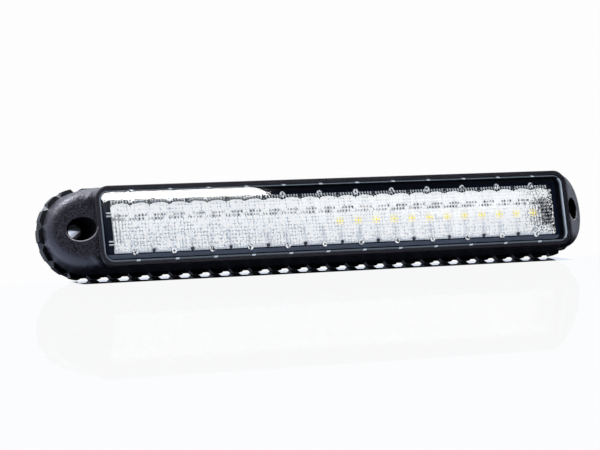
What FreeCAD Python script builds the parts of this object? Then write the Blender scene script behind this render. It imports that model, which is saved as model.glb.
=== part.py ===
import FreeCAD, Part
import math
import os

import Sketcher

# Slim rear combination lamp, in millimetres.
# X runs along the lamp, the lens faces -Y, and Z is up.
# The origin is the middle of the rear mounting face, so a depth above that face is -Y.

ORIGIN = -1
ROOT_POINT = 1
HORIZONTAL_AXIS = -1
VERTICAL_AXIS = -2
TOUCH = 0.01

DIMENSIONS = (
    ("led_pitch", 8.0, "spacing of the light sources"),
    ("led_count", 24, "light sources in the row"),
    ("led_length", 3.2, "LED package along the lamp"),
    ("led_width", 2.8, "LED package across the lamp"),
    ("led_package_height", 0.7, "LED package above the board"),
    ("led_dome_radius", 1.15, "LED dome"),
    ("led_dome_height", 0.4, "LED dome above its package"),
    ("led_dome_rounding", 0.3, "rounding of the LED dome"),
    ("cell_radius", 9.2, "round collimator cell, cut by its neighbours"),
    ("cell_mouth_radius", 2.7, "narrow end of a collimator cell"),
    ("cell_cavity_radius", 1.7, "hollow over each LED"),
    ("cell_cavity_depth", 1.6, "hollow over each LED"),
    ("cell_depth", 5.6, "tapered part of a collimator cell"),
    ("cell_pad", 0.5, "scalloped face proud of the optic plate"),
    ("optic_plate", 1.6, "optic plate thickness"),
    ("optic_margin", 0.6, "optic plate beyond the cells, above and below"),
    ("optic_end_margin", 2.0, "optic plate beyond the cells at the ends"),
    ("optic_corner", 0.8, "corner radius of the optic plate"),
    ("mask_border", 1.9, "mask wall above and below the optic"),
    ("mask_end_border", 1.05, "mask wall at the ends of the optic"),
    ("mask_lip", 0.6, "mask face in front of the optic plate"),
    ("fit_gap", 0.15, "clearance of nested pieces"),
    ("lens_side_wall", 1.2, "lens wall, above and below"),
    ("lens_end_wall", 2.2, "lens wall at the ends"),
    ("lens_plate", 2.0, "lens front"),
    ("lens_corner", 3.8, "outer corner of the lens"),
    ("lens_edge", 0.7, "rounded front edge of the lens"),
    ("lens_flange", 0.7, "flange beyond the lens wall"),
    ("lens_flange_height", 1.6, "flange thickness"),
    ("lens_flange_inset", 4.5, "flange ends short of the lens ends"),
    ("lens_gap", 0.75, "space between optic and lens"),
    ("lens_recess", 0.35, "lens front behind the bezel rim"),
    ("lens_rib_width", 1.5, "centring ribs on the lens edge"),
    ("lens_rib_length", 1.6, "centring ribs, from the lens front back"),
    ("window_gap", 0.2, "clearance of the lens in its window"),
    ("rim_width", 1.45, "bezel rim at the ends of the window"),
    ("rim_draft", 0.45, "bezel side leans in by this from base to rim"),
    ("rim_rounding", 0.35, "outer edge of the bezel rim"),
    ("rim_step", 0.4, "rim stands above the start of the end ramp"),
    ("shoulder_rounding", 5.0, "rounding of the moulding outside its rim"),
    ("side_wall", 1.3, "bezel wall beside the tub"),
    ("ramp_angle", 41.0, "slope of the bezel ends, degrees"),
    ("ramp_rounding", 6.0, "rounding round the end ramps"),
    ("end_inset", 0.25, "end arcs are struck this far past the window"),
    ("well_radius", 4.3, "screw head well"),
    ("well_wall", 1.7, "wall between window and screw well"),
    ("well_floor", 10.0, "screw seat above the mounting face"),
    ("well_mouth_rounding", 0.2, "edge of a screw well on the end ramp"),
    ("sleeve_radius", 3.7, "steel sleeve outside"),
    ("screw_hole_radius", 2.6, "through hole for the mounting screw"),
    ("sleeve_gap", 0.05, "clearance of the sleeve in its boss"),
    ("base_thickness", 2.8, "toothed base"),
    ("base_recess", 1.4, "hollow in the back of the base"),
    ("base_rim", 4.6, "flat border of the base, inside the teeth"),
    ("base_rib", 1.4, "ribs across the back of the base"),
    ("base_rib_count", 12, "ribs across the back of the base"),
    ("base_boss_wall", 2.0, "pads round the holes in the base"),
    ("tooth_height", 1.6, "base tooth, in front"),
    ("tooth_foot_rise", 0.8, "notch floor rises by this towards the back"),
    ("end_foot_rise", 1.25, "the same rise round the ends"),
    ("notch_mouth", 4.8, "gap between teeth on the straight sides"),
    ("end_notch_mouth", 3.5, "gap between teeth round the ends"),
    ("notch_flank", 1.0, "slope of the tooth flanks, sideways per height"),
    ("side_tooth_count", 24, "tooth pitches along a straight side"),
    ("end_tooth_count", 7, "teeth round each end"),
    ("tub_floor", 1.6, "back wall of the tub"),
    ("tub_rim_rise", 2.4, "tub wall above the board"),
    ("component_room", 2.6, "space behind the board"),
    ("board_thickness", 1.6, "circuit board"),
    ("led_clearance", 0.5, "space over the LEDs"),
    ("board_boss_radius", 2.5, "tub bosses under the board"),
    ("socket_floor", 0.4, "bottom of a boss socket above the tub floor"),
    ("pin_radius", 0.8, "optic pin shank"),
    ("pin_head_radius", 1.05, "optic pin head"),
    ("pin_head_height", 0.5, "optic pin head"),
    ("pin_bore_radius", 0.45, "hollow of an optic pin"),
    ("pin_bore_depth", 2.0, "hollow of an optic pin"),
    ("pin_gap", 0.1, "clearance round an optic pin"),
    ("pin_tip_gap", 0.2, "pin tip above its socket bottom"),
    ("seal_width", 0.9, "lens seal"),
    ("seal_depth", 0.7, "groove of the lens seal"),
    ("seal_proud", 0.2, "lens seal above the tub rim"),
    ("seal_inset", 0.5, "seal groove from the inner side of the tub wall"),
    ("seal_gap", 0.05, "clearance of the seal in its groove"),
    ("grommet_neck_radius", 4.4, "cable grommet in the tub and base"),
    ("grommet_flange", 1.5, "grommet flanges beyond the neck"),
    ("grommet_flange_height", 1.1, "grommet flanges"),
    ("cable_bore_radius", 2.9, "bore for the cable"),
    ("chip_length", 5.0, "driver chip along the lamp"),
    ("chip_width", 4.0, "driver chip across the lamp"),
    ("chip_height", 1.6, "driver chip"),
    ("diode_length", 4.4, "input diode along the lamp"),
    ("diode_width", 2.6, "input diode across the lamp"),
    ("diode_height", 2.0, "input diode"),
    ("capacitor_length", 3.2, "capacitor along the lamp"),
    ("capacitor_width", 2.5, "capacitor across the lamp"),
    ("capacitor_height", 1.8, "capacitor"),
    ("resistor_length", 3.0, "sense resistor along the lamp"),
    ("resistor_width", 1.6, "sense resistor across the lamp"),
    ("resistor_height", 0.6, "sense resistor"),
    ("terminal_radius", 0.6, "solder terminal"),
    ("terminal_height", 1.8, "solder terminal"),
    ("terminal_pitch", 2.6, "solder terminal spacing"),
    ("terminal_count", 4, "solder terminals"),
    ("terminal_start", -20.0, "first solder terminal"),
    ("chip_count", 3, "driver chips"),
    ("chip_start", -72.0, "first driver chip"),
    ("diode_count", 4, "input diodes"),
    ("diode_start", 24.0, "first input diode"),
    ("capacitor_count", 3, "capacitors"),
    ("capacitor_start", 24.0, "first capacitor"),
    ("capacitor_pitch", 12.0, "capacitor spacing"),
    ("part_row", 3.6, "diodes and capacitors from the middle line"),
    ("resistor_row", 6.7, "sense resistors from the middle line"),
)


class Size:
    """A length that keeps its spreadsheet formula and its value together."""

    def __init__(self, formula, value):
        self.formula = formula
        self.value = value

    def combine(self, other, sign, value):
        text = other.formula if isinstance(other, Size) else repr(float(other))
        return Size(f"({self.formula} {sign} {text})", value)

    def __add__(self, other):
        return self.combine(other, "+", self.value + number(other))

    def __sub__(self, other):
        return self.combine(other, "-", self.value - number(other))

    def __mul__(self, other):
        return self.combine(other, "*", self.value * number(other))

    def __truediv__(self, other):
        return self.combine(other, "/", self.value / number(other))

    def __neg__(self):
        return Size(f"(-1 * {self.formula})", -self.value)


def number(size):
    return size.value if isinstance(size, Size) else float(size)


def tangent(angle):
    return Size(f"tan({angle.formula} * 1 deg)", math.tan(math.radians(angle.value)))


class Sheet:
    """The driving dimensions, each a Size under its own name."""

    def __init__(self, document):
        self.cells = document.addObject("Spreadsheet::Sheet", "Dimensions")
        for row, (alias, value, note) in enumerate(DIMENSIONS, start=1):
            self.cells.set(f"A{row}", alias)
            self.cells.set(f"B{row}", str(value))
            self.cells.set(f"C{row}", note)
            self.cells.setAlias(f"B{row}", alias)
        document.recompute()
        for alias, _, _ in DIMENSIONS:
            setattr(self, alias, Size(f"Dimensions.{alias}", float(self.cells.get(alias))))


document = FreeCAD.newDocument("CombinationLamp")
size = Sheet(document)
ZERO = Size("0", 0.0)
HALF_TURN = Size("180", 180.0)

# Lengths across the lamp, from the light sources outwards
led_row = size.led_pitch * size.led_count
cells_half = led_row / 2
optic_half_x = cells_half + size.optic_end_margin
optic_half_z = size.cell_radius + size.optic_margin
mask_half_x = optic_half_x + size.fit_gap + size.mask_end_border
mask_half_z = optic_half_z + size.fit_gap + size.mask_border
lens_inner_x = mask_half_x + size.fit_gap
lens_inner_z = mask_half_z + size.fit_gap
lens_half_x = lens_inner_x + size.lens_end_wall
lens_half_z = lens_inner_z + size.lens_side_wall
lens_inner_corner = size.lens_corner - size.lens_side_wall
window_half_x = lens_half_x + size.window_gap
window_half_z = lens_half_z + size.window_gap
window_corner = size.lens_corner + size.window_gap
tub_half_z = lens_half_z + size.lens_flange
tub_corner = size.lens_corner + size.lens_flange
tub_room_z = tub_half_z + size.window_gap
tub_room_corner = tub_corner + size.window_gap
skirt_radius = tub_room_z + size.side_wall
rim_radius = skirt_radius - size.rim_draft
tip_radius = skirt_radius + size.tooth_height
end_centre = window_half_x + size.end_inset
ramp_start = window_half_x + size.rim_width
screw_x = window_half_x + size.well_wall + size.well_radius
pin_pitch = size.led_pitch * 2
pin_count = size.led_count / 2
first_pin_x = size.led_pitch - cells_half
first_led_x = size.led_pitch / 2 - cells_half

# Heights above the mounting face, from the base to the rim
tub_back = size.base_thickness
tub_inside = tub_back + size.tub_floor
board_back = tub_inside + size.component_room
board_front = board_back + size.board_thickness
tub_rim = board_front + size.tub_rim_rise
lens_back = tub_rim + size.seal_proud
ledge = lens_back + size.lens_flange_height + size.fit_gap
cell_mouth = board_front + size.led_package_height + size.led_dome_height + size.led_clearance
optic_back = cell_mouth + size.cell_depth
optic_front = optic_back + size.optic_plate
mask_front = optic_front + size.mask_lip
lens_inside = optic_front + size.cell_pad + size.lens_gap
lens_front = lens_inside + size.lens_plate
rim_front = lens_front + size.lens_recess


def bind(feature, name, value):
    feature.setExpression(name, value.formula)


def new_body(label):
    body = document.addObject("PartDesign::Body", label.title().replace("_", ""))
    body.Label = label
    body.Placement = FreeCAD.Placement()
    return body


def origin_plane(body, role):
    return next(item for item in body.Origin.OriginFeatures if item.Role == role)


def new_sketch(body, name, x=None, z=None, height=None, plane="XZ_Plane"):
    """A sketch on the mounting face, or lifted from it, with its own middle at x and z."""
    sketch = body.newObject("Sketcher::SketchObject", name)
    sketch.AttachmentSupport = [(origin_plane(body, plane), "")]
    sketch.MapMode = "FlatFace"
    for axis, offset in (("x", x), ("y", z), ("z", height)):
        if offset is not None:
            bind(sketch, f"AttachmentOffset.Base.{axis}", offset)
    return sketch


def constrain(sketch, kind, references, value):
    index = sketch.addConstraint(Sketcher.Constraint(kind, *references, value.value))
    bind(sketch, f"Constraints[{index}]", value)


def locate(sketch, edge, point, x, y):
    """Tie one point of an edge to its place from the sketch's own origin."""
    for kind, axis, value in (("DistanceX", VERTICAL_AXIS, x), ("DistanceY", HORIZONTAL_AXIS, y)):
        if abs(value.value) < 1e-9:
            sketch.addConstraint(Sketcher.Constraint("PointOnObject", edge, point, axis))
        elif value.value > 0:
            constrain(sketch, kind, (ORIGIN, ROOT_POINT, edge, point), value)
        else:
            constrain(sketch, kind, (edge, point, ORIGIN, ROOT_POINT), -value)


def circle(sketch, radius):
    edge = sketch.addGeometry(Part.Circle(FreeCAD.Vector(), FreeCAD.Vector(0, 0, 1), radius.value))
    sketch.addConstraint(Sketcher.Constraint("Coincident", edge, 3, ORIGIN, ROOT_POINT))
    constrain(sketch, "Radius", (edge,), radius)
    return sketch


def polygon(sketch, corners):
    points = [FreeCAD.Vector(x.value, y.value, 0) for x, y in corners]
    first = sketch.GeometryCount
    count = len(points)
    for index in range(count):
        sketch.addGeometry(Part.LineSegment(points[index], points[(index + 1) % count]))
    for index in range(count):
        following = first + (index + 1) % count
        sketch.addConstraint(Sketcher.Constraint("Coincident", first + index, 2, following, 1))
    for index, (x, y) in enumerate(corners):
        locate(sketch, first + index, 1, x, y)
    return sketch


def rectangle(sketch, half_x, half_y):
    return polygon(sketch, ((-half_x, -half_y), (half_x, -half_y), (half_x, half_y), (-half_x, half_y)))


def rounded_outline(sketch, corners, radius):
    """Four quarter arcs struck from the given corner centres, joined by straight sides."""
    centres = [FreeCAD.Vector(x.value, y.value, 0) for x, y in corners]
    axis = FreeCAD.Vector(0, 0, 1)
    first = sketch.GeometryCount
    reach = radius.value
    for quarter, centre in enumerate(centres):
        start = math.pi * (1 + quarter / 2)
        arc = Part.ArcOfCircle(Part.Circle(centre, axis, reach), start, start + math.pi / 2)
        sketch.addGeometry(arc)
    for quarter, centre in enumerate(centres):
        following = centres[(quarter + 1) % 4]
        turn = math.pi * (1.5 + quarter / 2)
        outward = FreeCAD.Vector(math.cos(turn), math.sin(turn), 0) * reach
        sketch.addGeometry(Part.LineSegment(centre + outward, following + outward))
    for quarter, (x, y) in enumerate(corners):
        arc = first + quarter
        side = first + 4 + quarter
        sketch.addConstraint(Sketcher.Constraint("Tangent", arc, 2, side, 1))
        sketch.addConstraint(Sketcher.Constraint("Tangent", side, 2, first + (quarter + 1) % 4, 1))
        locate(sketch, arc, 3, x, y)
    constrain(sketch, "Radius", (first,), radius)
    return sketch


def rounded_rectangle(sketch, half_x, half_y, corner):
    x = half_x - corner
    y = half_y - corner
    return rounded_outline(sketch, ((-x, -y), (x, -y), (x, y), (-x, y)), corner)


def stadium(sketch, half_straight, radius):
    """Two half circles joined by straight sides."""
    axis = FreeCAD.Vector(0, 0, 1)
    reach = radius.value
    right = FreeCAD.Vector(half_straight.value, 0, 0)
    up = FreeCAD.Vector(0, reach, 0)
    half = math.pi / 2
    sketch.addGeometry(Part.ArcOfCircle(Part.Circle(right, axis, reach), -half, half))
    sketch.addGeometry(Part.LineSegment(right + up, up - right))
    sketch.addGeometry(Part.ArcOfCircle(Part.Circle(-right, axis, reach), half, 3 * half))
    sketch.addGeometry(Part.LineSegment(-right - up, right - up))
    for edge in range(4):
        sketch.addConstraint(Sketcher.Constraint("Tangent", edge, 2, (edge + 1) % 4, 1))
    locate(sketch, 0, 3, half_straight, ZERO)
    locate(sketch, 2, 3, -half_straight, ZERO)
    constrain(sketch, "Radius", (0,), radius)
    return sketch


def pad(body, sketch, length, backwards=False):
    feature = body.newObject("PartDesign::Pad", f"{sketch.Name}Pad")
    feature.Profile = sketch
    feature.Reversed = backwards
    bind(feature, "Length", length)
    document.recompute()
    return feature


def pocket(body, sketch, length, forwards=True, symmetric=False):
    """Cut along the sketch's own normal, or both ways from it, and be sure that something goes."""
    before = body.Shape.Volume
    feature = body.newObject("PartDesign::Pocket", f"{sketch.Name}Pocket")
    feature.Profile = sketch
    feature.Reversed = forwards
    if symmetric:
        feature.SideType = "Symmetric"
    bind(feature, "Length", length)
    document.recompute()
    if body.Shape.Volume >= before:
        raise RuntimeError(f"{feature.Name} in {body.Label} cuts nothing")
    return feature


def revolve(body, sketch):
    feature = body.newObject("PartDesign::Revolution", f"{sketch.Name}Turn")
    feature.Profile = sketch
    feature.ReferenceAxis = (sketch, ["V_Axis"])
    feature.Angle = 360
    document.recompute()
    return feature


def loft(body, first, last, kind="PartDesign::AdditiveLoft"):
    feature = body.newObject(kind, f"{first.Name}Loft")
    feature.Profile = first
    feature.Sections = [(last, [""])]
    feature.Ruled = True
    document.recompute()
    return feature


def row(body, feature, sketch, spacing, count):
    """Repeat a feature along its sketch's own horizontal axis."""
    pattern = body.newObject("PartDesign::LinearPattern", f"{feature.Name}Row")
    pattern.Originals = [feature]
    pattern.Direction = (sketch, ["H_Axis"])
    pattern.Mode = "Spacing"
    bind(pattern, "Offset", spacing)
    bind(pattern, "Occurrences", count)
    body.Tip = pattern
    document.recompute()
    return pattern


def ring(body, feature, sketch, angle, count):
    """Repeat a feature round its sketch's own origin."""
    pattern = body.newObject("PartDesign::PolarPattern", f"{feature.Name}Ring")
    pattern.Originals = [feature]
    pattern.Axis = (sketch, ["N_Axis"])
    pattern.Mode = "Spacing"
    bind(pattern, "Offset", angle)
    bind(pattern, "Occurrences", count)
    body.Tip = pattern
    document.recompute()
    return pattern


def fillet(body, chosen, radius):
    """Round the edges of the finished shape that the test picks."""
    base = body.Tip
    names = [f"Edge{index}" for index, edge in enumerate(base.Shape.Edges, start=1) if chosen(edge)]
    feature = body.newObject("PartDesign::Fillet", f"{base.Name}Rounding")
    feature.Base = (base, names)
    bind(feature, "Radius", radius)
    document.recompute()
    return feature


def level_edge(height):
    """A test for edges that lie wholly at one height above the mounting face."""
    def chosen(edge):
        box = edge.BoundBox
        return max(abs(box.YMin + height.value), abs(box.YMax + height.value)) < TOUCH

    return chosen


def side_name(side):
    return "Left" if side < 0 else "Right"


def cut_ramps(body, shoulder):
    """Slope both ends of the bezel away from its rim and round the edge of each slope."""
    width = skirt_radius * 2
    slope = tangent(size.ramp_angle)
    ramp_end = shoulder - width * slope
    sky = rim_front + size.rim_step
    for side in (-1, 1):
        sketch = new_sketch(body, f"Ramp{side_name(side)}", plane="XY_Plane")
        near = ramp_start * side
        far = (ramp_start + width) * side
        polygon(sketch, ((near, -shoulder), (far, -ramp_end), (far, -sky), (near, -sky)))
        pocket(body, sketch, width * 2, symmetric=True)
    past_shoulder = ramp_start + size.shoulder_rounding

    def outer_edge(edge):
        middle = edge.valueAt((edge.FirstParameter + edge.LastParameter) / 2)
        reach = abs(middle.x)
        height = shoulder.value - (reach - ramp_start.value) * slope.value
        return reach > past_shoulder.value and abs(height + middle.y) < TOUCH

    fillet(body, outer_edge, size.ramp_rounding)


def build_front_bezel():
    """Hollow moulding: a rounded stadium with sloping ends, a raised rim, a window and two screw wells."""
    body = new_body("front_bezel")
    shoulder = rim_front - size.rim_step
    skirt = stadium(new_sketch(body, "BezelSkirt", height=size.base_thickness), end_centre, skirt_radius)
    top = stadium(new_sketch(body, "BezelTop", height=shoulder), end_centre, rim_radius)
    loft(body, skirt, top)
    fillet(body, level_edge(shoulder), size.shoulder_rounding)
    cut_ramps(body, shoulder)
    rim_foot = shoulder - size.shoulder_rounding
    rim = new_sketch(body, "BezelRim", height=rim_foot)
    rounded_rectangle(rim, ramp_start, rim_radius, window_corner + size.rim_width)
    pad(body, rim, rim_front - rim_foot)
    fillet(body, level_edge(rim_front), size.rim_rounding)
    window = new_sketch(body, "Window", height=ledge)
    rounded_rectangle(window, window_half_x, window_half_z, window_corner)
    pocket(body, window, rim_front - ledge + size.rim_step)
    room = new_sketch(body, "TubRoom", height=size.base_thickness)
    rounded_rectangle(room, window_half_x, tub_room_z, tub_room_corner)
    pocket(body, room, ledge - size.base_thickness)
    for side in (-1, 1):
        place = screw_x * side
        well = circle(new_sketch(body, f"Well{side_name(side)}", x=place, height=size.well_floor),
                      size.well_radius)
        pocket(body, well, rim_front - size.well_floor)
        bore = circle(new_sketch(body, f"SleeveBore{side_name(side)}", x=place, height=size.base_thickness),
                      size.sleeve_radius + size.sleeve_gap)
        pocket(body, bore, size.well_floor - size.base_thickness)

    def well_mouth(edge):
        middle = edge.valueAt((edge.FirstParameter + edge.LastParameter) / 2)
        off_axis = math.hypot(abs(middle.x) - screw_x.value, middle.z)
        sloping = edge.BoundBox.YLength > TOUCH and edge.BoundBox.XLength > TOUCH
        return sloping and abs(off_axis - size.well_radius.value) < TOUCH

    fillet(body, well_mouth, size.well_mouth_rounding)
    return body


def cut_notch(body, name, mouth, rise, x, outward, turn=None):
    """One tapered notch in the base's edge: deep at the front, shallow at the back."""
    overshoot = size.tooth_height / 2
    sketches = []
    for end, depth, height in (
        ("Back", size.tooth_height - rise, ZERO),
        ("Front", size.tooth_height, size.base_thickness),
    ):
        sketch = new_sketch(body, f"{name}{end}", x=x, height=height)
        if turn is not None:
            bind(sketch, "AttachmentOffset.Rotation.Angle", turn)
        half_mouth = mouth / 2 + overshoot * size.notch_flank
        half_floor = mouth / 2 - depth * size.notch_flank
        top = (tip_radius + overshoot) * outward
        floor = (tip_radius - depth) * outward
        polygon(sketch, ((-half_floor, floor), (half_floor, floor), (half_mouth, top), (-half_mouth, top)))
        sketches.append(sketch)
    return loft(body, *sketches, kind="PartDesign::SubtractiveLoft"), sketches[0]


def build_mounting_base():
    """Toothed base plate with a ribbed hollow back."""
    body = new_body("mounting_base")
    outline = stadium(new_sketch(body, "BaseOutline"), end_centre, tip_radius)
    pad(body, outline, size.base_thickness)
    side_pitch = end_centre * 2 / size.side_tooth_count
    end_pitch = HALF_TURN / size.end_tooth_count
    for name, outward in (("Upper", 1), ("Lower", -1)):
        notch, sketch = cut_notch(body, f"{name}Notch", size.notch_mouth, size.tooth_foot_rise,
                                  -end_centre, outward)
        row(body, notch, sketch, side_pitch, size.side_tooth_count + 1)
    for side, outward in ((-1, 1), (1, -1)):
        name = f"End{side_name(side)}Notch"
        notch, sketch = cut_notch(body, name, size.end_notch_mouth, size.end_foot_rise,
                                  end_centre * side, outward, end_pitch)
        ring(body, notch, sketch, end_pitch, size.end_tooth_count - 1)
    hollow_radius = skirt_radius - size.base_rim
    hollow = stadium(new_sketch(body, "BackHollow"), end_centre, hollow_radius)
    pocket(body, hollow, size.base_recess)
    rib_pitch = end_centre * 2 / size.base_rib_count
    first_rib = rib_pitch / 2 - end_centre
    rib = new_sketch(body, "BackRib", x=first_rib)
    rectangle(rib, size.base_rib / 2, hollow_radius + size.base_rib / 2)
    row(body, pad(body, rib, size.base_recess), rib, rib_pitch, size.base_rib_count)
    for side in (-1, 1):
        place = screw_x * side
        boss = new_sketch(body, f"SleevePad{side_name(side)}", x=place)
        pad(body, circle(boss, size.sleeve_radius + size.base_boss_wall), size.base_recess)
        hole = new_sketch(body, f"SleeveHole{side_name(side)}", x=place)
        pocket(body, circle(hole, size.sleeve_radius + size.sleeve_gap), size.base_thickness)
    outlet = circle(new_sketch(body, "CableOutlet"), size.grommet_neck_radius + size.sleeve_gap)
    pocket(body, outlet, size.base_thickness)
    return body


def build_housing_tub():
    """Sealed tub with a groove round its rim and bosses that carry the board."""
    body = new_body("housing_tub")
    shell = new_sketch(body, "TubShell", height=tub_back)
    rounded_rectangle(shell, lens_half_x, tub_half_z, tub_corner)
    pad(body, shell, tub_rim - tub_back)
    inside = new_sketch(body, "TubInside", height=tub_inside)
    rounded_rectangle(inside, lens_inner_x, lens_inner_z, lens_inner_corner)
    pocket(body, inside, tub_rim - tub_inside)
    groove = new_sketch(body, "SealGroove", height=tub_rim - size.seal_depth)
    seal_outline(groove, ZERO)
    pocket(body, groove, size.seal_depth)
    for side in (-1, 1):
        boss = new_sketch(body, f"BoardBoss{side_name(side)}", x=first_pin_x, z=optic_half_z * side,
                          height=tub_inside)
        boss_pad = pad(body, circle(boss, size.board_boss_radius), size.component_room)
        row(body, boss_pad, boss, pin_pitch, pin_count)
        cut_pin_row(body, f"Socket{side_name(side)}", side, tub_inside + size.socket_floor,
                    size.component_room - size.socket_floor)
    outlet = new_sketch(body, "TubOutlet", height=tub_back)
    pocket(body, circle(outlet, size.grommet_neck_radius + size.sleeve_gap), size.tub_floor)
    return body


def seal_outline(sketch, slack):
    """The ring that the seal follows, thinner by the slack on both sides."""
    inset = size.seal_inset + slack
    reach = size.seal_inset + size.seal_width - slack
    for offset in (reach, inset):
        rounded_rectangle(sketch, lens_inner_x + offset, lens_inner_z + offset, lens_inner_corner + offset)


def cut_pin_row(body, name, side, height, length):
    """Holes for one row of optic pins."""
    hole = new_sketch(body, name, x=first_pin_x, z=optic_half_z * side, height=height)
    cut = pocket(body, circle(hole, size.pin_radius + size.pin_gap), length)
    row(body, cut, hole, pin_pitch, pin_count)


def build_circuit_board():
    """Board across the tub, with a hole for each optic pin."""
    body = new_body("circuit_board")
    outline = new_sketch(body, "BoardOutline", height=board_back)
    rounded_rectangle(outline, mask_half_x, mask_half_z, lens_inner_corner - size.fit_gap)
    pad(body, outline, size.board_thickness)
    for side in (-1, 1):
        cut_pin_row(body, f"BoardHole{side_name(side)}", side, board_back, size.board_thickness)
    return body


def build_mask_frame():
    """Black frame round the optic, with a ledge that carries it."""
    body = new_body("mask_frame")
    outline = new_sketch(body, "MaskOutline", height=board_front)
    rounded_rectangle(outline, mask_half_x, mask_half_z, lens_inner_corner - size.fit_gap)
    pad(body, outline, mask_front - board_front)
    opening = new_sketch(body, "OpticOpening", height=optic_back)
    rounded_rectangle(opening, optic_half_x + size.fit_gap, optic_half_z + size.fit_gap,
                      size.optic_corner + size.fit_gap)
    pocket(body, opening, mask_front - optic_back)
    shaft = new_sketch(body, "CellShaft", height=board_front)
    rectangle(shaft, cells_half + size.fit_gap, size.cell_radius + size.fit_gap)
    pocket(body, shaft, optic_back - board_front)
    for side in (-1, 1):
        cut_pin_row(body, f"MaskHole{side_name(side)}", side, board_front, mask_front - board_front)
    return body


def build_inner_optic():
    """Row of collimator cells that cut into each other, on one plate with scalloped edges."""
    body = new_body("inner_optic")
    cell = new_sketch(body, "Cell", x=first_led_x, plane="XY_Plane")
    cavity_top = cell_mouth + size.cell_cavity_depth
    face = optic_front + size.cell_pad
    polygon(cell, (
        (ZERO, -cavity_top),
        (size.cell_cavity_radius, -cavity_top),
        (size.cell_cavity_radius, -cell_mouth),
        (size.cell_mouth_radius, -cell_mouth),
        (size.cell_radius, -optic_back),
        (size.cell_radius, -face),
        (ZERO, -face),
    ))
    row(body, revolve(body, cell), cell, size.led_pitch, size.led_count)
    for side in (-1, 1):
        trim = new_sketch(body, f"EndTrim{side_name(side)}", x=(cells_half + size.cell_radius) * side,
                          height=cell_mouth)
        rectangle(trim, size.cell_radius, size.cell_radius * 2)
        pocket(body, trim, face - cell_mouth)
    plate = new_sketch(body, "OpticPlate", height=optic_back)
    rounded_rectangle(plate, optic_half_x, optic_half_z, size.optic_corner)
    pad(body, plate, size.optic_plate)
    for side in (-1, 1):
        cut_pin_row(body, f"OpticNotch{side_name(side)}", side, optic_back, size.optic_plate)
    return body


def build_optic_pins():
    """Hollow headed pins that hold optic and mask on the board."""
    body = new_body("optic_pins")
    tip = tub_inside + size.socket_floor + size.pin_tip_gap
    head = mask_front + size.pin_head_height
    bore = head - size.pin_bore_depth
    for side in (-1, 1):
        pin = new_sketch(body, f"Pin{side_name(side)}", x=first_pin_x, height=optic_half_z * side,
                         plane="XY_Plane")
        polygon(pin, (
            (ZERO, -tip),
            (size.pin_radius, -tip),
            (size.pin_radius, -mask_front),
            (size.pin_head_radius, -mask_front),
            (size.pin_head_radius, -head),
            (size.pin_bore_radius, -head),
            (size.pin_bore_radius, -bore),
            (ZERO, -bore),
        ))
        row(body, revolve(body, pin), pin, pin_pitch, pin_count)
    return body


def build_outer_lens():
    """Clear cover: a flat front with rounded edges on a deep wall, held by side flanges."""
    body = new_body("outer_lens")
    flange = new_sketch(body, "LensFlange", height=lens_back)
    rectangle(flange, lens_half_x - size.lens_flange_inset, tub_half_z)
    pad(body, flange, size.lens_flange_height)
    cover = new_sketch(body, "LensCover", height=lens_back)
    rounded_rectangle(cover, lens_half_x, lens_half_z, size.lens_corner)
    pad(body, cover, lens_front - lens_back)
    fillet(body, level_edge(lens_front), size.lens_edge)
    inside = new_sketch(body, "LensInside", height=lens_back)
    rounded_rectangle(inside, lens_inner_x, lens_inner_z, lens_inner_corner)
    pocket(body, inside, lens_inside - lens_back)
    rib_back = lens_front - size.lens_edge - size.lens_rib_length
    for side in (-1, 1):
        rib = new_sketch(body, f"LensRib{side_name(side)}", x=first_pin_x, z=lens_half_z * side,
                         height=rib_back)
        rectangle(rib, size.lens_rib_width / 2, size.window_gap / 2)
        row(body, pad(body, rib, size.lens_rib_length), rib, pin_pitch, pin_count)
    return body


def build_lens_seal():
    """Rubber ring between tub and lens."""
    body = new_body("lens_seal")
    outline = new_sketch(body, "SealRing", height=tub_rim - size.seal_depth)
    seal_outline(outline, size.seal_gap)
    pad(body, outline, size.seal_depth + size.seal_proud)
    return body


def build_cable_grommet():
    """Rubber grommet through base and tub, flanged on both sides."""
    body = new_body("cable_grommet")
    profile = new_sketch(body, "GrommetProfile", plane="XY_Plane")
    outside = size.base_recess - size.grommet_flange_height
    inside = tub_inside + size.grommet_flange_height
    bore = size.cable_bore_radius
    neck = size.grommet_neck_radius
    flange = neck + size.grommet_flange
    polygon(profile, (
        (bore, -outside),
        (flange, -outside),
        (flange, -size.base_recess),
        (neck, -size.base_recess),
        (neck, -tub_inside),
        (flange, -tub_inside),
        (flange, -inside),
        (bore, -inside),
    ))
    revolve(body, profile)
    return body


def build_screw_sleeves():
    """Steel sleeves that take the clamping of the two mounting screws."""
    body = new_body("screw_sleeves")
    for side in (-1, 1):
        section = new_sketch(body, f"Sleeve{side_name(side)}", x=screw_x * side)
        circle(section, size.sleeve_radius)
        circle(section, size.screw_hole_radius)
        pad(body, section, size.well_floor)
    return body


def build_leds(label, first_x, spacing, count):
    """One colour of light source: square packages with a round dome."""
    body = new_body(label)
    name = body.Name
    package = new_sketch(body, f"{name}Package", x=first_x, height=board_front)
    rectangle(package, size.led_length / 2, size.led_width / 2)
    row(body, pad(body, package, size.led_package_height), package, spacing, count)
    dome_foot = board_front + size.led_package_height
    dome = circle(new_sketch(body, f"{name}Dome", x=first_x, height=dome_foot), size.led_dome_radius)
    row(body, pad(body, dome, size.led_dome_height), dome, spacing, count)
    fillet(body, level_edge(dome_foot + size.led_dome_height), size.led_dome_rounding)
    return body


def build_board_parts(label, length, width, height, first_x, z, spacing, count):
    """Like components in a row on the back of the board."""
    body = new_body(label)
    outline = new_sketch(body, f"{body.Name}Outline", x=first_x, z=z, height=board_back)
    rectangle(outline, length / 2, width / 2)
    row(body, pad(body, outline, height, backwards=True), outline, spacing, count)
    return body


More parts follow.
